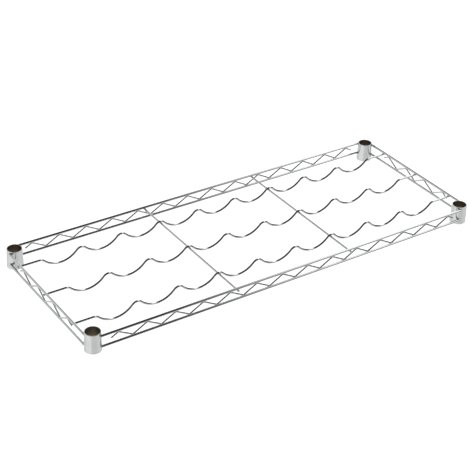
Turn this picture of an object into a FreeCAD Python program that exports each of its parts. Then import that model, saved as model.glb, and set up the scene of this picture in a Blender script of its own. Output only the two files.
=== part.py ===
import FreeCAD, Part
import math
import os

from FreeCAD import Vector

# Chrome wire wine shelf: four post collars, a railed frame, and three wave-bent wires that cradle bottles.
# Millimetres, +Z up. X runs along the shelf, and -Y is the front. The origin is under the middle of the
# shelf, level with the bottom rims of the collars. Every piece is a separate solid, and each weld is a
# saddle or a coped end where two pieces meet face to face.

# Where the posts stand
post_span_x = 882.0          # between post centres along the shelf
post_span_y = 322.0          # between post centres across the shelf

# Post collars: a tapered tube that wedges on a split sleeve, with a short parallel throat at the top
collar_height = 40.0
throat_radius = 14.4         # inside, at the top
throat_length = 6.0          # parallel part of the bore
mouth_radius = 15.8          # inside, at the bottom
collar_wall = 1.3
rim_round = 0.3              # rounding of the rim edges

# Frame rails
rail_diameter = 5.3
rim_to_rail = 5.8            # collar's top rim down to the top rails' centres
rail_spacing = 23.3          # top rail centre to bottom rail centre
rail_sink = 1.4              # rail centres, inside the collar's outer radius at its top rim

# Bottle cradles and the cross wires that carry them
cradle_diameter = 4.5
cross_diameter = 4.5
bottle_pitch = 91.44         # from one bottle to the next
cradle_depth = 19.7          # crest to valley, along wire centres
crest_radius = 13.0          # bend over a crest, at the wire's centre
wave_fullness = 0.995        # bend radii as a share of the largest that leave no straight between bends
least_cradle_end = 30.0      # straight wire that each end needs inside the end rail
wire_overhang = 1.7          # wire ends beyond the rail that they are welded under
cross_places = 3             # bottles between the two cross wires
cross_inset = 1.5            # cross wires' centres, inside the crests that they carry
slope_places = 2             # bottle places at each end that slope down to the end rails

# Truss wires between the rails
truss_diameter = 3.2
waves_per_bottle = 1.5       # truss waves for each bottle place
truss_bend_radius = 4.0      # at the wire's centre
truss_to_collar = 11.0       # least gap from a truss wire's end to a collar
truss_to_cradle = 4.0        # from the end trusses' wire ends to the outer cradles' centres

weld_bite = 0.4              # how far two wires sink into each other at a weld

# Worked out from the sizes above
collar_x = post_span_x / 2
collar_y = post_span_y / 2
top_outer_radius = throat_radius + collar_wall
bottom_outer_radius = mouth_radius + collar_wall
rail_radius = rail_diameter / 2
cradle_radius = cradle_diameter / 2
cross_radius = cross_diameter / 2
truss_radius = truss_diameter / 2

rail_x = collar_x + top_outer_radius - rail_sink     # planes of the end rails
rail_y = collar_y + top_outer_radius - rail_sink     # planes of the front and rear rails
top_rail_z = collar_height - rim_to_rail
bottom_rail_z = top_rail_z - rail_spacing

cross_z = top_rail_z - rail_radius - cross_radius + weld_bite
cradle_end_z = top_rail_z - rail_radius - cradle_radius + weld_bite
cross_under_crest = crest_radius - (cross_radius + cradle_radius - weld_bite)
crest_z = cross_z + crest_radius - math.sqrt(cross_under_crest ** 2 - cross_inset ** 2)
cross_x = bottle_pitch * cross_places / 2 - cross_inset
overhang = rail_radius + wire_overhang

truss_pitch = bottle_pitch / waves_per_bottle
truss_top_z = top_rail_z - rail_radius - truss_radius + weld_bite
truss_bottom_z = bottom_rail_z + rail_radius + truss_radius - weld_bite


def largest_odd(room):
    """Largest odd whole number that is not above room."""
    return 2 * math.floor((room + 1) / 2) - 1


def truss_waves(post_span):
    """Odd number of truss waves that fits between two collars, with half a flank at each end."""
    room = post_span - 2 * bottom_outer_radius - 2 * truss_to_collar
    return largest_odd(room / truss_pitch - 0.5)


bottle_places = largest_odd((2 * rail_x - 2 * least_cradle_end) / bottle_pitch)
end_truss_reach = (truss_waves(post_span_y) / 2 + 0.25) * truss_pitch
cradle_y = end_truss_reach + truss_to_cradle

sides = {"front": -1, "rear": 1}
ends = {"left": -1, "right": 1}
levels = {"top_rail": top_rail_z, "bottom_rail": bottom_rail_z}


def collar_outer_radius(z):
    """Outer radius of a collar at height z."""
    taper = (bottom_outer_radius - top_outer_radius) / collar_height
    return bottom_outer_radius - taper * z


def straight_wire(start, end, radius):
    """Round bar between two points."""
    run = end - start
    return Part.makeCylinder(radius, run.Length, start, run)


def wave_bend(half_pitch, depth, radius_sum):
    """Flank angle in radians and straight flank length of a wave whose two bend radii add to radius_sum."""
    rise = depth - radius_sum
    reach = math.hypot(half_pitch, rise)
    flank_angle = math.atan2(rise, half_pitch) + math.asin(radius_sum / reach)
    flank_length = math.sqrt(max(reach ** 2 - radius_sum ** 2, 0.0))
    return flank_angle, flank_length


def bent_wire(start, heading, lead, moves, radius, place):
    """Round wire bent in one plane, from start (along, up), with a straight lead at heading in radians.

    Each move is a turn in radians, its bend radius, and the straight length that follows it.
    A positive turn bends the wire upwards. place puts a point of the plane in space.
    """
    along, up = start
    ahead = (along + lead * math.cos(heading), up + lead * math.sin(heading))
    edges = [Part.LineSegment(place(along, up), place(*ahead)).toShape()]
    along, up = ahead
    for turn, bend_radius, length in moves:
        side = math.copysign(bend_radius, turn)
        centre = (along - side * math.sin(heading), up + side * math.cos(heading))
        points = []
        for share in (0.0, 0.5, 1.0):
            angle = heading + turn * share
            points.append(place(centre[0] + side * math.sin(angle), centre[1] - side * math.cos(angle)))
        edges.append(Part.Arc(*points).toShape())
        heading += turn
        along = centre[0] + side * math.sin(heading)
        up = centre[1] - side * math.cos(heading)
        ahead = (along + length * math.cos(heading), up + length * math.sin(heading))
        edges.append(Part.LineSegment(place(along, up), place(*ahead)).toShape())
        along, up = ahead
    first = edges[0]
    section = Part.makeCircle(radius, first.Vertexes[0].Point, first.tangentAt(first.FirstParameter))
    return Part.Wire(edges).makePipeShell([Part.Wire(section)], True, False)


def collar_profile_solid(points):
    """Solid of revolution about Z from a closed outline of (radius, z) points."""
    outline = Part.makePolygon([Vector(radius, 0, z) for radius, z in points + points[:1]])
    return Part.Face(outline).revolve(Vector(0, 0, 0), Vector(0, 0, 1), 360)


def collar():
    """Tapered post collar, standing on the origin."""
    throat_bottom = collar_height - rim_round - throat_length
    tube = collar_profile_solid([
        (mouth_radius, 0),
        (bottom_outer_radius, 0),
        (top_outer_radius, collar_height),
        (throat_radius, collar_height),
        (throat_radius, throat_bottom),
    ])
    rims = []
    for edge in tube.Edges:
        box = edge.BoundBox
        flat = box.ZLength < rim_round
        at_rim = min(abs(box.ZMin), abs(box.ZMax - collar_height)) < rim_round
        if flat and at_rim:
            rims.append(edge)
    return tube.makeFillet(rim_round, rims)


def collar_envelope(x, y):
    """Solid cone of a collar's outer surface, which the rail ends are coped against."""
    cone = Part.makeCone(bottom_outer_radius, top_outer_radius, collar_height)
    cone.translate(Vector(x, y, 0))
    return cone


def rail_stop(z):
    """Distance from a collar's axis to the rail's cut end, where the rail's centre line meets the wall."""
    return math.sqrt(collar_outer_radius(z) ** 2 - (top_outer_radius - rail_sink) ** 2)


def long_rail(y, z):
    """Front or rear rail, coped to the two collars it joins."""
    reach = collar_x - rail_stop(z)
    bar = straight_wire(Vector(-reach, y, z), Vector(reach, y, z), rail_radius)
    near = math.copysign(collar_y, y)
    return bar.cut([collar_envelope(x, near) for x in (-collar_x, collar_x)])


def end_rail(x, z):
    """Left or right rail, coped to the two collars it joins."""
    reach = collar_y - rail_stop(z)
    bar = straight_wire(Vector(x, -reach, z), Vector(x, reach, z), rail_radius)
    near = math.copysign(collar_x, x)
    return bar.cut([collar_envelope(near, y) for y in (-collar_y, collar_y)])


def truss_wire(post_span, place, rails):
    """Zigzag wire between a top and a bottom rail, with half a flank free beyond its last bends."""
    waves = truss_waves(post_span)
    depth = truss_top_z - truss_bottom_z
    flank_angle, flank_length = wave_bend(truss_pitch / 2, depth, 2 * truss_bend_radius)
    bend = 2 * flank_angle
    stub = flank_length / 2
    moves = []
    for _ in range(waves):
        moves.append((-bend, truss_bend_radius, flank_length))
        moves.append((bend, truss_bend_radius, flank_length))
    moves.append((-bend, truss_bend_radius, stub))
    start = (-(waves / 2 + 0.25) * truss_pitch, (truss_top_z + truss_bottom_z) / 2)
    return bent_wire(start, flank_angle, stub, moves, truss_radius, place).cut(rails)


def cross_wire(x, rails):
    """Wire across the shelf under the front and rear top rails."""
    reach = rail_y + overhang
    bar = straight_wire(Vector(x, -reach, cross_z), Vector(x, reach, cross_z), cross_radius)
    return bar.cut(rails)


def cradle_wire(y, crossed):
    """Wave-bent wire that holds one end of each bottle.

    Its crests lie on the cross wires. The outer bottle places slope down by droop, so that the straight
    ends pass under the end rails.
    """
    half_pitch = bottle_pitch / 2
    fullest = (half_pitch ** 2 + cradle_depth ** 2) / (2 * cradle_depth)
    radius_sum = wave_fullness * fullest
    valley_radius = radius_sum - crest_radius
    flank_angle, flank_length = wave_bend(half_pitch, cradle_depth, radius_sum)
    slope_run = slope_places * bottle_pitch
    droop = math.asin((crest_z - cradle_end_z) / slope_run)
    last_bend_x = bottle_places / 2 * bottle_pitch - slope_run * (1 - math.cos(droop))
    end_length = rail_x + overhang - last_bend_x

    moves = [(droop - flank_angle, crest_radius, flank_length)]
    for place_number in range(1, bottle_places):
        moves.append((2 * flank_angle, valley_radius, flank_length))
        crest_turn = 2 * flank_angle
        if place_number in (slope_places, bottle_places - slope_places):
            crest_turn += droop
        moves.append((-crest_turn, crest_radius, flank_length))
    moves.append((2 * flank_angle, valley_radius, flank_length))
    moves.append((droop - flank_angle, crest_radius, end_length))
    start = (-rail_x - overhang, cradle_end_z)
    wave = bent_wire(start, 0.0, end_length, moves, cradle_radius, lambda along, up: Vector(along, y, up))
    print("cradle valley radius", round(valley_radius, 2), "flank angle", round(math.degrees(flank_angle), 2))
    return wave.cut(crossed)


def build():
    """All the shelf's pieces by name."""
    pieces = {}
    for side, y_sign in sides.items():
        for end, x_sign in ends.items():
            tube = collar()
            tube.translate(Vector(x_sign * collar_x, y_sign * collar_y, 0))
            pieces["collar_" + side + "_" + end] = tube

    for level, z in levels.items():
        for side, y_sign in sides.items():
            pieces[level + "_" + side] = long_rail(y_sign * rail_y, z)
        for end, x_sign in ends.items():
            pieces[level + "_" + end] = end_rail(x_sign * rail_x, z)

    for side, y_sign in sides.items():
        rails = [pieces[level + "_" + side] for level in levels]
        y = y_sign * rail_y
        pieces["truss_wire_" + side] = truss_wire(post_span_x, lambda along, up: Vector(along, y, up), rails)
    for end, x_sign in ends.items():
        rails = [pieces[level + "_" + end] for level in levels]
        x = x_sign * rail_x
        pieces["truss_wire_" + end] = truss_wire(post_span_y, lambda along, up: Vector(x, along, up), rails)

    long_top_rails = [pieces["top_rail_" + side] for side in sides]
    for end, x_sign in ends.items():
        pieces["cross_wire_" + end] = cross_wire(x_sign * cross_x, long_top_rails)

    crossed = [pieces["cross_wire_" + end] for end in ends] + [pieces["top_rail_" + end] for end in ends]
    for place_name, y_sign in (("front", -1), ("middle", 0), ("rear", 1)):
        pieces["cradle_wire_" + place_name] = cradle_wire(y_sign * cradle_y, crossed)
    return pieces


os.makedirs("parts", exist_ok=True)
for name, piece in build().items():
    solid = piece.Solids[0] if len(piece.Solids) == 1 else piece
    solid.exportStep("parts/" + name + ".step")
    print(name, "solids", len(piece.Solids), "valid", solid.isValid(), "volume", round(solid.Volume, 1))
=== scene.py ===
import math

import bpy
import numpy as np
from mathutils import Matrix, Vector


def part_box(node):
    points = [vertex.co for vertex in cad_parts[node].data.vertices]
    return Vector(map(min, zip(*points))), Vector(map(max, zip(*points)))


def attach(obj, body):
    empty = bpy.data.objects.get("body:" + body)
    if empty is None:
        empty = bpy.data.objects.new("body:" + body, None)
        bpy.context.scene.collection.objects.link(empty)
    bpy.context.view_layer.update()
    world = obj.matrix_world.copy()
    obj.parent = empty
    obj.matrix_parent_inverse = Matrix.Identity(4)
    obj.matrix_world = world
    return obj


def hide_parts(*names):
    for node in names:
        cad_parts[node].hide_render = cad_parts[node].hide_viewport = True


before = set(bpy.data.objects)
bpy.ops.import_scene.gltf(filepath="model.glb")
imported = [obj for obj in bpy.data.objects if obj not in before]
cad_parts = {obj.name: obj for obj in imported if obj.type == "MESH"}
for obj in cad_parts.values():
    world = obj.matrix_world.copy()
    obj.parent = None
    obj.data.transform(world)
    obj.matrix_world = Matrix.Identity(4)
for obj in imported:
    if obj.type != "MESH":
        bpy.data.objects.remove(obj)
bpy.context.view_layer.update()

# The looks of a chrome wire wine shelf, built around its fixed frame. Every collar, rail and wire gets a
# smooth skin along the line that the frame gives it, and every weld gets its bead of plated metal.
# X runs along the shelf, -Y is the front, +Z is up, and lengths are in metres.

mm = 0.001
sides = {"front": -1, "rear": 1}
ends = {"left": -1, "right": 1}
levels = ("top", "bottom")
weldBite = 0.4 * mm            # how far two wires sink into each other
white = (1, 1, 1, 1)


class Signal:
    # One output of a node tree. Arithmetic on it adds Math nodes, and make() adds any other node.

    def __init__(self, tree, socket=None):
        self.tree = tree
        self.socket = socket

    def make(self, kind, settings=None, inputs=None, output=0):
        node = self.tree.nodes.new(kind)
        for name, value in (settings or {}).items():
            setattr(node, name, value)
        for name, value in (inputs or {}).items():
            if isinstance(value, Signal):
                self.tree.links.new(value.socket, node.inputs[name])
            else:
                node.inputs[name].default_value = value
        return Signal(self.tree, node.outputs[output] if node.outputs else None)

    def maths(self, operation, first, second):
        return self.make("ShaderNodeMath", {"operation": operation}, {0: first, 1: second})

    def __add__(self, other):
        return self.maths("ADD", self, other)

    def __radd__(self, other):
        return self.maths("ADD", other, self)

    def __sub__(self, other):
        return self.maths("SUBTRACT", self, other)

    def __rsub__(self, other):
        return self.maths("SUBTRACT", other, self)

    def __mul__(self, other):
        return self.maths("MULTIPLY", self, other)

    def __rmul__(self, other):
        return self.maths("MULTIPLY", other, self)


# Camera, with its angles in degrees
cameraSetup = {
    "place": (-1.32366, -1.86388, 1.43906),
    "azimuth": -34.867,
    "elevation": 31.903,
    "roll": 2.213,
    "lens": 100.25,
    "sensor": 36.0,
}


def makeCamera(setup):
    # back points from the shelf to the camera, and right and up are turned about it by the roll
    azimuth, elevation, roll = (math.radians(setup[name]) for name in ("azimuth", "elevation", "roll"))
    back = Vector((
        math.sin(azimuth) * math.cos(elevation),
        -math.cos(azimuth) * math.cos(elevation),
        math.sin(elevation),
    ))
    level = Vector((math.cos(azimuth), math.sin(azimuth), 0))
    upright = back.cross(level)
    right = level * math.cos(roll) + upright * math.sin(roll)
    up = upright * math.cos(roll) - level * math.sin(roll)
    data = bpy.data.cameras.new("camera")
    data.lens = setup["lens"]
    data.sensor_width = setup["sensor"]
    camera = bpy.data.objects.new("camera", data)
    turned = Matrix((right, up, back)).transposed().to_4x4()
    camera.matrix_world = Matrix.Translation(setup["place"]) @ turned
    bpy.context.scene.collection.objects.link(camera)
    bpy.context.scene.camera = camera


makeCamera(cameraSetup)
print("camera placed")


# Chrome plate. The colour drifts between two greys in soft patches, the polish between two roughnesses,
# and the surface has slight waves and the fine marks that drawing leaves along a wire. Scales are
# features for each metre, heights are metres, and stretch is how many times longer than wide a mark is.
chromeSizes = {
    "collar": {"bright": (0.66, 0.675, 0.675, 1), "dull": (0.57, 0.585, 0.585, 1), "polish": (0.10, 0.17),
               "patches": 70, "waves": 160, "waveHeight": 0.02 * mm, "marks": 1400, "markHeight": 0.002 * mm,
               "stretch": 12},
    "rail": {"bright": (0.66, 0.67, 0.67, 1), "dull": (0.58, 0.59, 0.59, 1), "polish": (0.06, 0.11),
             "patches": 25, "waves": 60, "waveHeight": 0.01 * mm, "marks": 2200, "markHeight": 0.0015 * mm,
             "stretch": 40},
    "cradle": {"bright": (0.66, 0.67, 0.67, 1), "dull": (0.58, 0.59, 0.59, 1), "polish": (0.05, 0.10),
               "patches": 30, "waves": 70, "waveHeight": 0.01 * mm, "marks": 2400, "markHeight": 0.0015 * mm,
               "stretch": 40},
    "wire": {"bright": (0.65, 0.66, 0.66, 1), "dull": (0.57, 0.58, 0.58, 1), "polish": (0.06, 0.12),
             "patches": 30, "waves": 80, "waveHeight": 0.01 * mm, "marks": 2800, "markHeight": 0.001 * mm,
             "stretch": 40},
    "weld": {"bright": (0.62, 0.63, 0.63, 1), "dull": (0.50, 0.51, 0.51, 1), "polish": (0.12, 0.25),
             "patches": 120, "waves": 500, "waveHeight": 0.06 * mm, "marks": 1200, "markHeight": 0.004 * mm,
             "stretch": 1},
}


noiseDetail = {"patches": 3, "waves": 1, "marks": 2}


def newMaterial(name):
    # The material, a signal to start its nodes from, and its shader
    material = bpy.data.materials.new(name)
    material.use_nodes = True
    tree = material.node_tree
    shader = tree.nodes["Principled BSDF"]
    return material, Signal(tree), shader


def chromePlate(name, sizes):
    # colour = dull to bright by the patches, roughness = middle polish + half the range by patches and
    # marks, and height = waves + marks, each noise times its own height
    material, start, shader = newMaterial(name)
    place = start.make("ShaderNodeTexCoord", output="Object")
    grain = start.make("ShaderNodeAttribute", {"attribute_name": "grain"}, output="Vector")
    lengthways = start.make("ShaderNodeVectorMath", {"operation": "MULTIPLY"}, {
        0: grain, 1: (1, 1, 1 / sizes["stretch"])})
    patches, waves, marks = (start.make("ShaderNodeTexNoise", inputs={
        "Vector": lengthways if layer == "marks" else place, "Scale": sizes[layer], "Detail": detail,
    }) for layer, detail in noiseDetail.items())
    colour = start.make("ShaderNodeMix", {"data_type": "RGBA"}, {
        "Factor": patches, 6: sizes["dull"], 7: sizes["bright"]}, output=2)
    smooth, worn = sizes["polish"]
    roughness = patches * (smooth - worn) + marks * (worn - smooth) + (worn + smooth) / 2
    height = waves * sizes["waveHeight"] + marks * sizes["markHeight"]
    normal = start.make("ShaderNodeBump", inputs={"Height": height, "Distance": 1.0, "Strength": 1.0})
    links = start.tree.links
    links.new(colour.socket, shader.inputs["Base Color"])
    links.new(roughness.socket, shader.inputs["Roughness"])
    links.new(normal.socket, shader.inputs["Normal"])
    shader.inputs["Metallic"].default_value = 1.0
    return material


# Bore of a collar: its own brown tone made near black, which paints the shade inside the recess, with paler
# blotches
boreSizes = {
    # dark is the bore's brown tone darkened to paint the shade inside the recess, and the paler colour only
    # varies it at random
    "dark": (0.11, 0.072, 0.048, 1),
    "paler": (0.26, 0.215, 0.14, 1),
    "roughness": (0.30, 0.50),
    "metallic": 0.6,
    "blotches": 110,
    "detail": 4,
    "bumpHeight": 0.05 * mm,
}


def borePlate(name, sizes):
    # Blotches of noise carry the colour from the dark painted shade to paler, the roughness from low to high
    # and the height
    material, start, shader = newMaterial(name)
    place = start.make("ShaderNodeTexCoord", output="Object")
    blotches = start.make("ShaderNodeTexNoise", inputs={
        "Vector": place, "Scale": sizes["blotches"], "Detail": sizes["detail"]})
    colour = start.make("ShaderNodeMix", {"data_type": "RGBA"}, {
        "Factor": blotches, 6: sizes["dark"], 7: sizes["paler"]}, output=2)
    low, high = sizes["roughness"]
    roughness = blotches * (high - low) + low
    normal = start.make("ShaderNodeBump", inputs={
        "Height": blotches * sizes["bumpHeight"], "Distance": 1.0, "Strength": 1.0})
    links = start.tree.links
    links.new(colour.socket, shader.inputs["Base Color"])
    links.new(roughness.socket, shader.inputs["Roughness"])
    links.new(normal.socket, shader.inputs["Normal"])
    shader.inputs["Metallic"].default_value = sizes["metallic"]
    return material


chrome = {name: chromePlate(f"{name}_chrome", sizes) for name, sizes in chromeSizes.items()}
bore = borePlate("collar_bore", boreSizes)
print("materials made")


# Surfaces. A grid is rows of points that close around its columns. Its first and last rows end in a pole,
# or meet each other when the rows close too.
def gridFaces(rows, columns, wrapRows=False):
    row = np.arange(rows if wrapRows else rows - 1)[:, None]
    column = np.arange(columns)[None, :]
    nextRow = (row + 1) % rows
    nextColumn = (column + 1) % columns
    corners = (
        row * columns + column,
        row * columns + nextColumn,
        nextRow * columns + nextColumn,
        nextRow * columns + column,
    )
    return np.stack(corners, axis=-1).reshape(-1, 4)


def poleFaces(rows, columns):
    # Fans that join the first row to the point after the grid, and the last row to the point after that
    column = np.arange(columns)
    nextColumn = (column + 1) % columns
    firstPole = np.full(columns, rows * columns)
    lastRow = (rows - 1) * columns
    start = np.stack([firstPole, nextColumn, column], axis=-1)
    finish = np.stack([firstPole + 1, lastRow + column, lastRow + nextColumn], axis=-1)
    return np.concatenate([start, finish])


def manyFaces(faces, count, size):
    # The same faces for each of count copies of a shape that has size points
    return (faces[None] + size * np.arange(count)[:, None, None]).reshape(-1, faces.shape[1])


def makePiece(name, points, grain, faceSets, slot, node=None, plate=None):
    # grain is each point's place on the straightened piece, which the drawing marks follow
    mesh = bpy.data.meshes.new(name)
    faces = [face for faceSet in faceSets for face in faceSet.tolist()]
    mesh.from_pydata(points.reshape(-1, 3).tolist(), [], faces)
    mesh.materials.append(chrome[plate or slot])
    mesh.polygons.foreach_set("use_smooth", np.ones(len(mesh.polygons), bool))
    marks = mesh.attributes.new("grain", "FLOAT_VECTOR", "POINT")
    marks.data.foreach_set("vector", grain.astype(np.float32).ravel())
    mesh.update()
    piece = bpy.data.objects.new(name, mesh)
    bpy.context.scene.collection.objects.link(piece)
    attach(piece, "root")
    if node:
        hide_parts(node)
    return piece


def cappedSkin(name, rings, poles, grain, slot, node):
    # Rings of points from one end to the other, closed by a fan at each end
    rows, columns = rings.shape[:2]
    points = np.concatenate([rings.reshape(-1, 3), poles])
    grain = np.concatenate([grain.reshape(-1, 3), grain[[0, -1], 0]])
    faces = [gridFaces(rows, columns), poleFaces(rows, columns)]
    return makePiece(name, points, grain, faces, slot, node)


def stacked(*parts):
    # Arrays or numbers of matching shapes, joined as the parts of one array of points
    return np.stack(np.broadcast_arrays(*parts), axis=-1)


# Post collars: a tapered tube with rounded rims and a short parallel throat
collarSizes = {
    "mouthRadius": 15.8 * mm,
    "throatRadius": 14.4 * mm,
    "throatLength": 6 * mm,
    "wall": 1.3 * mm,
    "rimRound": 0.3 * mm,
    "columns": 128,
    "roundSteps": 5,
}


def roundedCorner(before, corner, after, radius, steps):
    # An arc of even turns that is tangent to both sides of the corner, found between the directions from
    # its centre to its two ends, with a point beyond each end that keeps the long sides' shading flat
    back, ahead = before - corner, after - corner
    back, ahead = back / np.linalg.norm(back), ahead / np.linalg.norm(ahead)
    half = math.acos(back @ ahead) / 2
    reach = radius / math.tan(half)
    middle = back + ahead
    centre = corner + middle / np.linalg.norm(middle) * radius / math.sin(half)
    span = math.pi - 2 * half
    share = np.linspace(0, 1, steps + 1)[:, None]
    first, last = corner + back * reach - centre, corner + ahead * reach - centre
    arc = centre + (np.sin((1 - share) * span) * first + np.sin(share * span) * last) / math.sin(span)
    return np.concatenate([[corner + back * (reach + radius)], arc, [corner + ahead * (reach + radius)]])


def collarOutline(height, sizes):
    # Closed outline of (radius, up), and for each of its sides whether it belongs to the bore
    throatBottom = height - sizes["rimRound"] - sizes["throatLength"]
    corners = np.array([
        (sizes["mouthRadius"], 0),
        (sizes["mouthRadius"] + sizes["wall"], 0),
        (sizes["throatRadius"] + sizes["wall"], height),
        (sizes["throatRadius"], height),
    ])
    throat = np.array([[sizes["throatRadius"], throatBottom]])
    loop = [throat[0], *corners, throat[0]]
    rounded = [roundedCorner(*loop[number:number + 3], sizes["rimRound"], sizes["roundSteps"])
               for number in range(len(corners))]
    outline = np.concatenate([*rounded, throat])
    inBore = np.zeros(len(outline), bool)
    inBore[-3:] = True         # the sides that run down from the rim to the throat and on to the mouth
    return outline, inBore


def makeCollar(side, end, sizes):
    # Point = centre + (radius cos angle, radius sin angle, up), for each (radius, up) of the outline
    node = f"collar_{side}_{end}"
    low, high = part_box(node)
    centre = (low + high) / 2
    outline, inBore = collarOutline(high.z, sizes)
    angle = np.linspace(0, math.tau, sizes["columns"], endpoint=False)
    radius, up = outline[:, 0, None], outline[:, 1, None]
    grain = stacked(radius * np.cos(angle), radius * np.sin(angle), up)
    points = grain + np.array([centre.x, centre.y, 0])
    faces = gridFaces(len(outline), len(angle), wrapRows=True)
    piece = makePiece(f"{side}_{end}_collar", points, grain, [faces], "collar", node)
    piece.data.materials.append(bore)
    piece.data.polygons.foreach_set("material_index", np.repeat(inBore, len(angle)).astype(np.int32))


for side in sides:
    for end in ends:
        makeCollar(side, end, collarSizes)
print("collars made")

collarLow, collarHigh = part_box("collar_rear_right")
collarPlace = (collarLow + collarHigh) / 2
bottomOuter = collarSizes["mouthRadius"] + collarSizes["wall"]
topOuter = collarSizes["throatRadius"] + collarSizes["wall"]


def collarRadiusAt(up):
    # The outer wall is a straight taper from its bottom radius to its top radius
    return bottomOuter - (bottomOuter - topOuter) * up / collarHigh.z


shadingTail = 4                # edge roundings from a cut end to the ring that keeps its side's shading flat


# Wires and rails lie along X or Y. place turns (along, out, up) into a point, and faces look outwards.
def alongX(y):
    return lambda along, out, up: stacked(along, y - out, up)


def alongY(x):
    return lambda along, out, up: stacked(x + out, along, up)


# Rails: straight, with cut ends, coped where a collar's wall is in the way
railSizes = {
    "columns": 48,
    "spacing": 60 * mm,        # between the rings of points along a rail
    "edge": 0.5 * mm,          # rounding of the cut ends
    "edgeSteps": 4,
    "hub": 0.5,                # radius of the last ring on a cut end, as a share of the rail's
    "wallBite": 1.0 * mm,      # into the collar's wall
}


def makeRail(name, node, box, axis, sizes):
    # Each line along the rail runs to the cut end, or stops inside the collar's wall if that comes first:
    # where its distance from the collar's axis is the collar's radius at that height, less the bite
    low, high = box
    middle = (low + high) / 2
    cross = 1 - axis
    radius = (high.z - low.z) / 2
    reach = high[axis]
    collarReach = collarPlace[axis]
    offset = abs(middle[cross]) - collarPlace[cross]
    outward = math.copysign(1, middle[cross]) * (1 if axis else -1)
    turn = np.linspace(0, math.pi / 2, sizes["edgeSteps"] + 1)
    back = np.concatenate([[shadingTail * sizes["edge"]], sizes["edge"] * (1 - np.sin(turn)), [0]])
    size = np.concatenate([[radius], radius - sizes["edge"] * (1 - np.cos(turn)), [radius * sizes["hub"]]])
    angle = np.linspace(0, math.tau, sizes["columns"], endpoint=False)
    out, lift = size[:, None] * np.sin(angle), size[:, None] * np.cos(angle)

    def endAt(out, lift):
        wall = collarRadiusAt(middle.z + lift) - sizes["wallBite"]
        across = offset + outward * out
        inside = np.abs(across) < wall
        stop = collarReach - np.sqrt(np.where(inside, wall ** 2 - across ** 2, 0))
        return np.where(inside, np.minimum(stop, reach), reach)

    finish = endAt(out, lift) - back[:, None]
    between = np.linspace(-reach, reach, 2 * round(reach / sizes["spacing"]) + 1)[1:-1]
    filled = np.ones((len(between), len(angle)))
    along = np.concatenate([-finish[::-1], between[:, None] * filled, finish])
    outRows = np.concatenate([out[::-1], out[:1] * filled, out])
    liftRows = np.concatenate([lift[::-1], lift[:1] * filled, lift])
    place = alongY(middle.x) if axis else alongX(middle.y)
    rings = place(along, outRows, middle.z + liftRows)
    pole = float(endAt(np.zeros(1), np.zeros(1))[0])
    poles = place(np.array([-pole, pole]), 0, middle.z)
    cappedSkin(name, rings, poles, stacked(outRows, liftRows, along), "rail", node)
    return middle, radius


rails = {}
for level in levels:
    for side in sides:
        node = f"{level}_rail_{side}"
        rails[level, side] = makeRail(f"{side}_{level}_rail", node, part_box(node), 0, railSizes)
    for end in ends:
        node = f"{level}_rail_{end}"
        rails[level, end] = makeRail(f"{end}_{level}_rail", node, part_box(node), 1, railSizes)
print("rails made")


def waveBend(halfPitch, depth, radiusSum):
    # Angle and straight length of the flanks of a wave whose two bend radii add to radiusSum: a flank is
    # the inner common tangent of two circles, whose centres are halfPitch apart and rise up
    rise = depth - radiusSum
    reach = math.hypot(halfPitch, rise)
    flankAngle = math.atan2(rise, halfPitch) + math.asin(radiusSum / reach)
    return flankAngle, math.sqrt(max(reach ** 2 - radiusSum ** 2, 0))


def bentPath(start, heading, lead, moves, arcStep):
    # Rows of (along, up, heading): a straight lead, then for each move a turn on its bend radius and the
    # straight run after it. A point on a bend is its centre plus the radius, square to the heading.
    along, up = start
    path = [[(along, up, heading)]]
    along, up = along + lead * math.cos(heading), up + lead * math.sin(heading)
    path.append([(along, up, heading)])
    for turn, bendRadius, run in moves:
        reach = math.copysign(bendRadius, turn)
        centreAlong, centreUp = along - reach * math.sin(heading), up + reach * math.cos(heading)
        steps = max(2, math.ceil(abs(turn) / arcStep))
        angle = heading + turn * np.linspace(0, 1, steps + 1)[1:]
        path.append(stacked(centreAlong + reach * np.sin(angle), centreUp - reach * np.cos(angle), angle))
        along, up, heading = path[-1][-1]
        along, up = along + run * math.cos(heading), up + run * math.sin(heading)
        if run > 0:
            path.append([(along, up, heading)])
    return np.concatenate(path)


def makeWire(name, node, path, radius, place, slot, sizes):
    # Rings square to the path, with the cut ends rounded: towards a cut the rings shrink as they near it
    turn = np.linspace(0, math.pi / 2, sizes["edgeSteps"] + 1)
    back = np.concatenate([[shadingTail * sizes["edge"]], sizes["edge"] * (1 - np.sin(turn))])
    size = np.concatenate([[radius], radius - sizes["edge"] * (1 - np.cos(turn))])
    along, up, heading = path[[0, -1]].T
    first = stacked(along[0] + back * np.cos(heading[0]), up[0] + back * np.sin(heading[0]), heading[0])
    last = stacked(along[1] - back * np.cos(heading[1]), up[1] - back * np.sin(heading[1]), heading[1])
    rows = np.concatenate([first[::-1], path[1:-1], last])
    radii = np.concatenate([size[::-1], np.full(len(path) - 2, radius), size])[:, None]
    along, up, heading = (column[:, None] for column in rows.T)
    angle = np.linspace(0, math.tau, sizes["columns"], endpoint=False)
    out, lift = radii * np.sin(angle), radii * np.cos(angle)
    rings = place(along - np.sin(heading) * lift, out, up + np.cos(heading) * lift)
    poles = place(path[[0, -1], 0], 0, path[[0, -1], 1])
    steps = np.hypot(np.diff(rows[:, 0]), np.diff(rows[:, 1]))
    length = np.concatenate([[0], np.cumsum(steps)])[:, None]
    cappedSkin(name, rings, poles, stacked(out, lift, length), slot, node)


# Truss wires: a zigzag between a top and a bottom rail, with half a flank free at each end
trussSizes = {
    "radius": 1.6 * mm,
    "pitch": 60.96 * mm,
    "bendRadius": 4 * mm,
    "waves": {"front": 13, "rear": 13, "left": 3, "right": 3},
    "arcStep": math.radians(9),
    "columns": 24,
    "edge": 0.4 * mm,
    "edgeSteps": 3,
}


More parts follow.
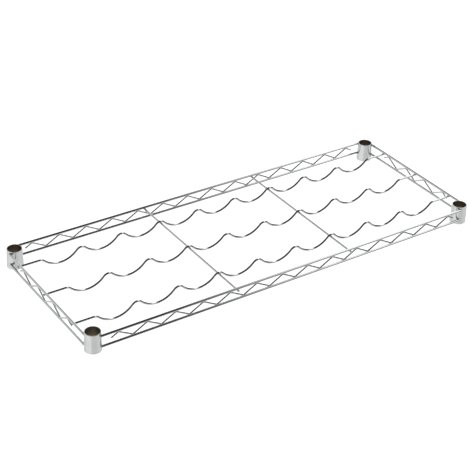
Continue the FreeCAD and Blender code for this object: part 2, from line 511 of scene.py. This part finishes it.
def trussLevels(place, sizes):
    # Middle of the truss wire at its top and bottom bends, a bite into the rails
    topMiddle, topRadius = rails["top", place]
    bottomMiddle, bottomRadius = rails["bottom", place]
    top = topMiddle.z - topRadius - sizes["radius"] + weldBite
    return top, bottomMiddle.z + bottomRadius + sizes["radius"] - weldBite


def trussPath(place, waves, sizes):
    # Half a flank up, then for each wave a bend over and a bend back with a flank after each, and at last
    # one more bend over. The start is halfway up, a quarter of a pitch before the first top bend.
    top, bottom = trussLevels(place, sizes)
    flankAngle, flank = waveBend(sizes["pitch"] / 2, top - bottom, 2 * sizes["bendRadius"])
    bend, bendRadius = 2 * flankAngle, sizes["bendRadius"]
    moves = [(-bend, bendRadius, flank), (bend, bendRadius, flank)] * waves
    moves.append((-bend, bendRadius, flank / 2))
    start = (-(waves / 2 + 0.25) * sizes["pitch"], (top + bottom) / 2)
    return bentPath(start, flankAngle, flank / 2, moves, sizes["arcStep"])


for place, waves in trussSizes["waves"].items():
    middle = rails["top", place][0]
    across = alongX(middle.y) if place in sides else alongY(middle.x)
    makeWire(f"{place}_truss_wire", f"truss_wire_{place}", trussPath(place, waves, trussSizes),
             trussSizes["radius"], across, "wire", trussSizes)
print("truss wires made")

# Cross wires: straight, under the front and rear top rails
crossSizes = {"columns": 36, "edge": 0.6 * mm, "edgeSteps": 4, "spacing": 60 * mm}
crossPlace = {}
for end in ends:
    low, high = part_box(f"cross_wire_{end}")
    radius = (high.x - low.x) / 2
    crossPlace[end] = Vector(((low.x + high.x) / 2, 0, low.z + radius)), radius
    along = np.linspace(low.y, high.y, 2 * round(high.y / crossSizes["spacing"]) + 1)
    makeWire(f"{end}_cross_wire", f"cross_wire_{end}", stacked(along, low.z + radius, 0), radius,
             alongY(crossPlace[end][0].x), "wire", crossSizes)
print("cross wires made")

# Cradle wires: each wave holds a bottle
cradleSizes = {
    "pitch": 91.44 * mm,
    "depth": 19.7 * mm,
    "crestRadius": 13 * mm,
    "fullness": 0.995,         # bend radii as a share of the largest that leave no straight between bends
    "places": 9,
    "slopePlaces": 2,          # bottle places at each end that slope down to the end rails
    "crossPlaces": 3,          # bottle places between the cross wires
    "arcStep": math.radians(3),
    "columns": 36,
    "edge": 0.6 * mm,
    "edgeSteps": 4,
}
cradleBoxes = {place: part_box(f"cradle_wire_{place}") for place in ("front", "middle", "rear")}
cradleLow, cradleHigh = cradleBoxes["middle"]
cradleRadius = cradleHigh.y
cradleCrest = cradleHigh.z - cradleRadius
cradleRail, cradleRailRadius = rails["top", "right"]
cradleEnd = cradleRail.z - cradleRailRadius - cradleRadius + weldBite


def cradlePath(sizes):
    # The outer places slope down by droop, whose sine is drop / slopeRun, so that the straight ends pass
    # under the end rails. The radii that leave no straight add to (halfPitch^2 + depth^2) / (2 depth).
    halfPitch, depth = sizes["pitch"] / 2, sizes["depth"]
    radiusSum = sizes["fullness"] * (halfPitch ** 2 + depth ** 2) / (2 * depth)
    flankAngle, flank = waveBend(halfPitch, depth, radiusSum)
    valleyRadius, crestRadius = radiusSum - sizes["crestRadius"], sizes["crestRadius"]
    slopeRun = sizes["slopePlaces"] * sizes["pitch"]
    droop = math.asin((cradleCrest - cradleEnd) / slopeRun)
    straight = cradleHigh.x - sizes["places"] * halfPitch + slopeRun * (1 - math.cos(droop))
    moves = [(droop - flankAngle, crestRadius, flank)]
    for place in range(1, sizes["places"]):
        sloped = place in (sizes["slopePlaces"], sizes["places"] - sizes["slopePlaces"])
        moves.append((2 * flankAngle, valleyRadius, flank))
        moves.append((-2 * flankAngle - (droop if sloped else 0), crestRadius, flank))
    moves.append((2 * flankAngle, valleyRadius, flank))
    moves.append((droop - flankAngle, crestRadius, straight))
    return bentPath((cradleLow.x, cradleEnd), 0, straight, moves, sizes["arcStep"])


path = cradlePath(cradleSizes)
for place, (low, high) in cradleBoxes.items():
    makeWire(f"{place}_cradle_wire", f"cradle_wire_{place}", path, cradleRadius,
             alongX((low.y + high.y) / 2), "cradle", cradleSizes)
print("cradle wires made")


# Welds between wires: a low button of metal squeezed out around each place where two wires meet
buttonSizes = {
    "truss": (2.7 * mm, 1.15 * mm, 0.75 * mm),      # half lengths along the rail, across it, and up
    "crossing": (2.0 * mm, 2.0 * mm, 0.85 * mm),
    "uneven": 0.12,
    "beats": (2.4, 1.7, 1.1),  # how fast each half length varies from one button to the next
    "rows": 6,
    "columns": 12,
}


def makeButtons(name, places, halves, slot, sizes):
    # Each is a ball stretched to its half lengths, a little more or less than its neighbours
    places = np.array(places)
    number = np.arange(len(places))
    longBeat, wideBeat, tallBeat = (beat * number for beat in sizes["beats"])
    scale = 1 + sizes["uneven"] * stacked(np.sin(longBeat), np.cos(wideBeat), np.sin(tallBeat))
    polar = np.linspace(0, math.pi, sizes["rows"] + 2)[1:-1, None]
    angle = np.linspace(0, math.tau, sizes["columns"], endpoint=False)
    ball = stacked(np.sin(polar) * np.cos(angle), np.sin(polar) * np.sin(angle), -np.cos(polar))
    ball = np.concatenate([ball.reshape(-1, 3), [[0, 0, -1], [0, 0, 1]]])
    points = places[:, None] + ball * (scale * halves)[:, None]
    count, size = len(places), len(ball)
    faces = [
        manyFaces(gridFaces(sizes["rows"], sizes["columns"]), count, size),
        manyFaces(poleFaces(sizes["rows"], sizes["columns"]), count, size),
    ]
    makePiece(name, points, points, faces, slot, plate="weld")


for place, waves in trussSizes["waves"].items():
    topMiddle, topRadius = rails["top", place]
    bottomMiddle, bottomRadius = rails["bottom", place]
    topAlong = (np.arange(waves + 1) - waves / 2) * trussSizes["pitch"]
    bottomAlong = (np.arange(waves) - waves / 2 + 0.5) * trussSizes["pitch"]
    up = np.concatenate([
        np.full(waves + 1, topMiddle.z - topRadius + weldBite / 2),
        np.full(waves, bottomMiddle.z + bottomRadius - weldBite / 2),
    ])
    across = alongX(topMiddle.y) if place in sides else alongY(topMiddle.x)
    long, wide, tall = buttonSizes["truss"]
    halves = (long, wide, tall) if place in sides else (wide, long, tall)
    makeButtons(f"{place}_truss_welds", across(np.concatenate([topAlong, bottomAlong]), 0, up), halves,
                "wire", buttonSizes)

for end, sign in ends.items():
    railMiddle, railRadius = rails["top", end]
    level = railMiddle.z - railRadius + weldBite / 2
    rows = [(low.y + high.y) / 2 for low, high in cradleBoxes.values()]
    makeButtons(f"{end}_cradle_end_welds", [(railMiddle.x, y, level) for y in rows],
                buttonSizes["crossing"], "cradle", buttonSizes)
    cross, crossRadius = crossPlace[end]
    crest = Vector((sign * cradleSizes["crossPlaces"] * cradleSizes["pitch"] / 2, 0,
                    cradleCrest - cradleSizes["crestRadius"]))
    touch = cross + (cross - crest).normalized() * (crossRadius - weldBite / 2)
    longRail, longRadius = rails["top", "rear"]
    contacts = [(touch.x, y, touch.z) for y in rows]
    contacts += [(cross.x, sign * longRail.y, longRail.z - longRadius + weldBite / 2) for sign in (-1, 1)]
    makeButtons(f"{end}_cross_wire_welds", contacts, buttonSizes["crossing"], "wire", buttonSizes)
print("wire welds made")

# Welds between rails and collars: a bead that runs round the inner half of the rail, where it meets the
# collar's wall, and closes across the rail's cut end
beadSizes = {
    "radius": 0.8 * mm,
    "uneven": 0.15,
    "ripples": 9,
    "columns": 10,
    "railSteps": 26,
    "endSteps": 8,
}


def beadLoop(middle, radius, cross, sizes):
    # Closed loop of (along, across, up) from the collar's axis, on the collar's wall
    offset = abs(middle[cross]) - collarPlace[cross]
    turn = np.linspace(math.pi / 2, 3 * math.pi / 2, sizes["railSteps"])
    across, up = offset + radius * np.cos(turn), middle.z + radius * np.sin(turn)
    rail = stacked(np.sqrt(collarRadiusAt(up) ** 2 - across ** 2), across, up)
    up = np.linspace(middle.z - radius, middle.z + radius, sizes["endSteps"] + 2)[1:-1]
    along = math.sqrt(collarRadiusAt(middle.z) ** 2 - offset ** 2)
    end = stacked(along, np.sqrt(collarRadiusAt(up) ** 2 - along ** 2), up)
    return np.concatenate([rail, end])


def beadSkin(loop, axis, sizes):
    # A round rope on the loop: each ring is square to the loop, from the line out of the collar's axis
    ahead = np.roll(loop, -1, axis=0) - np.roll(loop, 1, axis=0)
    ahead /= np.linalg.norm(ahead, axis=1, keepdims=True)
    outward = loop - axis
    outward[:, 2] = 0
    outward -= ahead * np.sum(outward * ahead, axis=1, keepdims=True)
    outward /= np.linalg.norm(outward, axis=1, keepdims=True)
    aside = np.cross(ahead, outward)
    share = np.linspace(0, math.tau, len(loop), endpoint=False)
    size = sizes["radius"] * (1 + sizes["uneven"] * np.sin(sizes["ripples"] * share))[:, None, None]
    angle = np.linspace(0, math.tau, sizes["columns"], endpoint=False)[:, None]
    return loop[:, None] + size * (np.cos(angle) * outward[:, None] + np.sin(angle) * aside[:, None])


for side, ySign in sides.items():
    for end, xSign in ends.items():
        axis = np.array([xSign * collarPlace.x, ySign * collarPlace.y, 0])
        skins = []
        for level in levels:
            alongPart, acrossPart, up = beadLoop(*rails[level, side], 1, beadSizes).T
            loop = axis + stacked(-xSign * alongPart, ySign * acrossPart, up)
            skins.append(beadSkin(loop, axis, beadSizes))
            alongPart, acrossPart, up = beadLoop(*rails[level, end], 0, beadSizes).T
            loop = axis + stacked(xSign * acrossPart, -ySign * alongPart, up)
            skins.append(beadSkin(loop, axis, beadSizes))
        points = np.stack(skins)
        count, rows, columns = points.shape[:3]
        faces = manyFaces(gridFaces(rows, columns, wrapRows=True), count, rows * columns)
        makePiece(f"{side}_{end}_collar_welds", points, points, [faces], "collar", plate="weld")
print("collar welds made")


# Studio. The shelf stands on a white light table, so the floor gives most of its own light and takes only
# faint shadows. The chrome sees soft cards around it in a dark room: each card is as bright as its light,
# within all its edges. An edge is a direction, and where the cosine of the angle to it starts and is full.
floorSizes = {
    "half": 8.0,
    "level": -0.2 * mm,        # a hair under the collars' rims
    "colour": (0.9, 0.9, 0.9, 1),
    "roughness": 0.9,
    "glow": 0.86,
}
studioSizes = {
    "room": 0.03,
    "fill": 0.30,              # even light on the floor and in the bores
    "backdrop": 1.0,           # what the camera sees beyond the floor
    "cards": {
        "rear": (0.94, [((0, 1, 0), 0.40, 0.62), ((0, 0, -1), -0.72, -0.52)]),
        "right": (1.50, [((1, 0, 0), 0.42, 0.57), ((0, 0, 1), -0.02, 0.10)]),
        "left": (0.75, [((-1, 0, 0), 0.30, 0.50), ((0, 0, -1), -0.35, -0.15)]),
        "table": (0.92, [((0, 0, -1), 0.02, 0.14)]),
        "left table": (1.10, [((-0.83, -0.04, -0.56), 0.75, 0.95)]),
        "front table": (0.82, [((-0.13, -0.82, -0.56), 0.80, 0.95)]),
        "right flag": (0.03, [((0.99, 0, 0.14), 0.78, 0.86)]),
        "front flag": (0.03, [((0.50, -0.84, -0.20), 0.84, 0.90), ((0, 0, 1), -0.40, -0.31)]),
    },
}


def makeFloor(sizes):
    # A square that the chrome doesn't mirror, because the table card stands in for it
    material, start, shader = newMaterial("pale_floor")
    shader.inputs["Base Color"].default_value = sizes["colour"]
    shader.inputs["Roughness"].default_value = sizes["roughness"]
    shader.inputs["Specular IOR Level"].default_value = 0.0
    shader.inputs["Emission Color"].default_value = white
    shader.inputs["Emission Strength"].default_value = sizes["glow"]
    half, level = sizes["half"], sizes["level"]
    mesh = bpy.data.meshes.new("floor")
    corners = [(-half, -half, level), (half, -half, level), (half, half, level), (-half, half, level)]
    mesh.from_pydata(corners, [], [(0, 1, 2, 3)])
    mesh.materials.append(material)
    floor = bpy.data.objects.new("floor", mesh)
    bpy.context.scene.collection.objects.link(floor)
    floor.visible_glossy = False


def makeStudio(sizes):
    # light = what is there so far * (1 - mask) + mask * the card's brightness, where mask is the product of
    # the card's edges. Matt surfaces get the even fill, and the camera sees the backdrop.
    world = bpy.data.worlds.new("studio")
    bpy.context.scene.world = world
    world.use_nodes = True
    tree = world.node_tree
    start = Signal(tree)
    towards = start.make("ShaderNodeTexCoord", output="Generated")
    light = sizes["room"]
    for brightness, edges in sizes["cards"].values():
        mask = 1.0
        for direction, outer, inner in edges:
            facing = start.make("ShaderNodeVectorMath", {"operation": "DOT_PRODUCT"}, {
                0: towards, 1: direction}, output="Value")
            mask = mask * start.make("ShaderNodeMapRange", {"interpolation_type": "SMOOTHSTEP"}, {
                "Value": facing, "From Min": outer, "From Max": inner})
        light = light * (1 - mask) + mask * brightness
    rays = start.make("ShaderNodeLightPath").socket.node.outputs
    toCamera, diffuse = Signal(tree, rays["Is Camera Ray"]), Signal(tree, rays["Is Diffuse Ray"])
    light = light * (1 - diffuse) + diffuse * sizes["fill"]
    light = light * (1 - toCamera) + toCamera * sizes["backdrop"]
    background = tree.nodes["Background"]
    background.inputs["Color"].default_value = white
    tree.links.new(light.socket, background.inputs["Strength"])


makeFloor(floorSizes)
makeStudio(studioSizes)
bpy.context.scene.view_settings.view_transform = "Standard"
print("studio lit")
